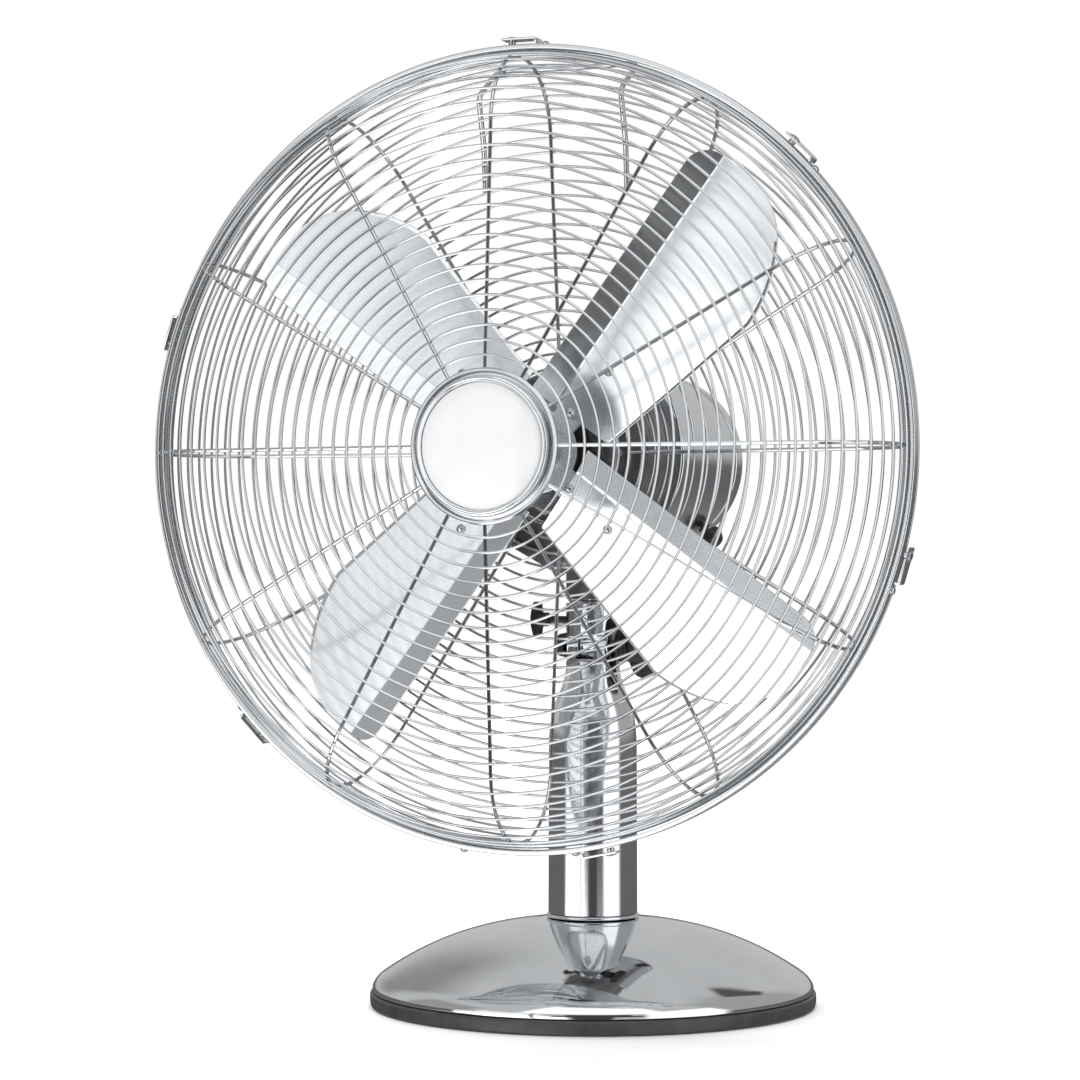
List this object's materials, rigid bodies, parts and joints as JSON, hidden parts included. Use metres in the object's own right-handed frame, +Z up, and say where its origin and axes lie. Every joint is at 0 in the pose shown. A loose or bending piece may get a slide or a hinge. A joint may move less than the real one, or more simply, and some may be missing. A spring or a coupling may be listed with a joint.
{
  "type": "desk fan",
  "caption": "Chrome desk fan: weighted dome base, bottle-shaped column, tilting neck, oscillating motor head, sheet-metal rotor inside a domed wire guard.",
  "frame": {"origin": "centre of the base's flat underside, on the column's axis", "axes": "+Z up along the column, the fan blows towards -Y, +X to the right when facing the front of the fan"},
  "size_m": [0.449, 0.3186, 0.5514],
  "materials": {
    "chrome": "mirror-polished chrome plate",
    "satin_steel": "satin nickel-plated steel",
    "steel": "machined steel",
    "blade_metal": "satin polished sheet aluminium",
    "cast_iron": "raw casting",
    "cast_dark": "dark grey semi-gloss enamel",
    "black_plastic": "semi-gloss black moulding",
    "rubber": "matt black",
    "copper": "enamelled copper wire",
    "bronze": "sintered bronze",
    "nylon": "natural nylon",
    "badge_white": "glossy white enamel"
  },
  "bodies": {
    "stand": {"anti_slip_pad": "rubber", "bottom_plate": "satin_steel", "base_trim_ring": "black_plastic", "cord_gland": "rubber", "ballast_weight": "cast_iron", "base_dome": "chrome", "column_foot_ring": "chrome", "column_cover": "chrome", "support_tube": "satin_steel", "tube_washer": "satin_steel", "tube_nut": "steel", "neck_fork": "chrome", "tilt_bolt": "steel", "tilt_bolt_cap": "black_plastic", "tilt_spacer": "black_plastic"},
    "tilt_knob": {"tilt_knob": "black_plastic"},
    "swivel_head": {"swivel_head": "chrome", "link_arm": "steel"},
    "lock_screw": {"swivel_lock_screw": "black_plastic"},
    "link": {"oscillation_link": "satin_steel"},
    "fan_head": {"saddle": "cast_dark", "swivel_bush": "bronze", "motor_front_cover": "cast_dark", "motor_housing": "chrome", "stator_core": "steel", "stator_winding_front": "copper", "stator_winding_rear": "copper", "front_bearing": "bronze", "rear_end_bell": "satin_steel", "rear_bearing": "bronze", "run_capacitor": "black_plastic", "gear_case": "satin_steel", "speed_switch": "black_plastic", "front_guard": "chrome", "rear_guard": "chrome", "guard_nut": "black_plastic", "rim_band": "satin_steel", "badge_bezel": "chrome", "badge_disc": "badge_white", "guard_clip_1": "satin_steel", "guard_clip_2": "satin_steel", "guard_clip_3": "satin_steel", "guard_clip_4": "satin_steel", "guard_clip_5": "satin_steel", "guard_clip_6": "satin_steel", "carry_handle": "chrome"},
    "crank": {"crank_disc": "steel", "crank_gear": "nylon"},
    "worm_wheel": {"worm_wheel": "nylon"},
    "clutch_knob": {"clutch_knob": "black_plastic"},
    "speed_knob": {"speed_knob": "black_plastic"},
    "rotor": {"rotor_core": "steel", "motor_shaft": "steel", "blade_spider": "steel", "hub_nut": "chrome", "fan_blade_1": "blade_metal", "fan_blade_2": "blade_metal", "fan_blade_3": "blade_metal", "fan_blade_4": "blade_metal"}
  },
  "joints": [
    {"name": "tilt", "type": "hinge", "parent": "stand", "child": "swivel_head", "pos_m": [0, 0, 0.211], "axis": [1, 0, 0], "range_deg": [-20, 10]},
    {"name": "tilt_knob_turn", "type": "hinge", "parent": "stand", "child": "tilt_knob", "pos_m": [0.03, 0, 0.211], "axis": [1, 0, 0], "range_deg": [0, 360]},
    {"name": "lock_screw_turn", "type": "hinge", "parent": "swivel_head", "child": "lock_screw", "pos_m": [-0.03, 0, 0.226], "axis": [-1, 0, 0], "range_deg": [0, 360]},
    {"name": "oscillation", "type": "hinge", "parent": "swivel_head", "child": "fan_head", "pos_m": [0, 0, 0.25], "axis": [0, 0, 1], "range_deg": [-38, 38]},
    {"name": "link_swing", "type": "hinge", "parent": "swivel_head", "child": "link", "pos_m": [-0.016, 0.028, 0.258], "axis": [0, 0, 1], "range_deg": [-38, 38]},
    {"name": "blade_spin", "type": "hinge", "parent": "fan_head", "child": "rotor", "pos_m": [0, 0, 0.322], "axis": [0, 1, 0], "continuous": true},
    {"name": "worm_wheel_spin", "type": "hinge", "parent": "fan_head", "child": "worm_wheel", "pos_m": [0.018, 0.074, 0.322], "axis": [0, 0, 1], "continuous": true},
    {"name": "crank_spin", "type": "hinge", "parent": "fan_head", "child": "crank", "pos_m": [-0.007, 0.074, 0.29], "axis": [0, 0, 1], "continuous": true},
    {"name": "clutch_pull", "type": "slide", "parent": "fan_head", "child": "clutch_knob", "axis": [0, 0, 1], "range_m": [0, 0.007]},
    {"name": "speed_turn", "type": "hinge", "parent": "fan_head", "child": "speed_knob", "pos_m": [0.03857, 0.108, 0.27604], "axis": [0.6428, 0, -0.766], "range_deg": [0, 135]}
  ],
  "couplings": [
    {"joint": "link_swing", "follows": "oscillation", "ratio": 1},
    {"joint": "worm_wheel_spin", "follows": "blade_spin", "ratio": 0.041667},
    {"joint": "crank_spin", "follows": "blade_spin", "ratio": -0.010417}
  ]
}
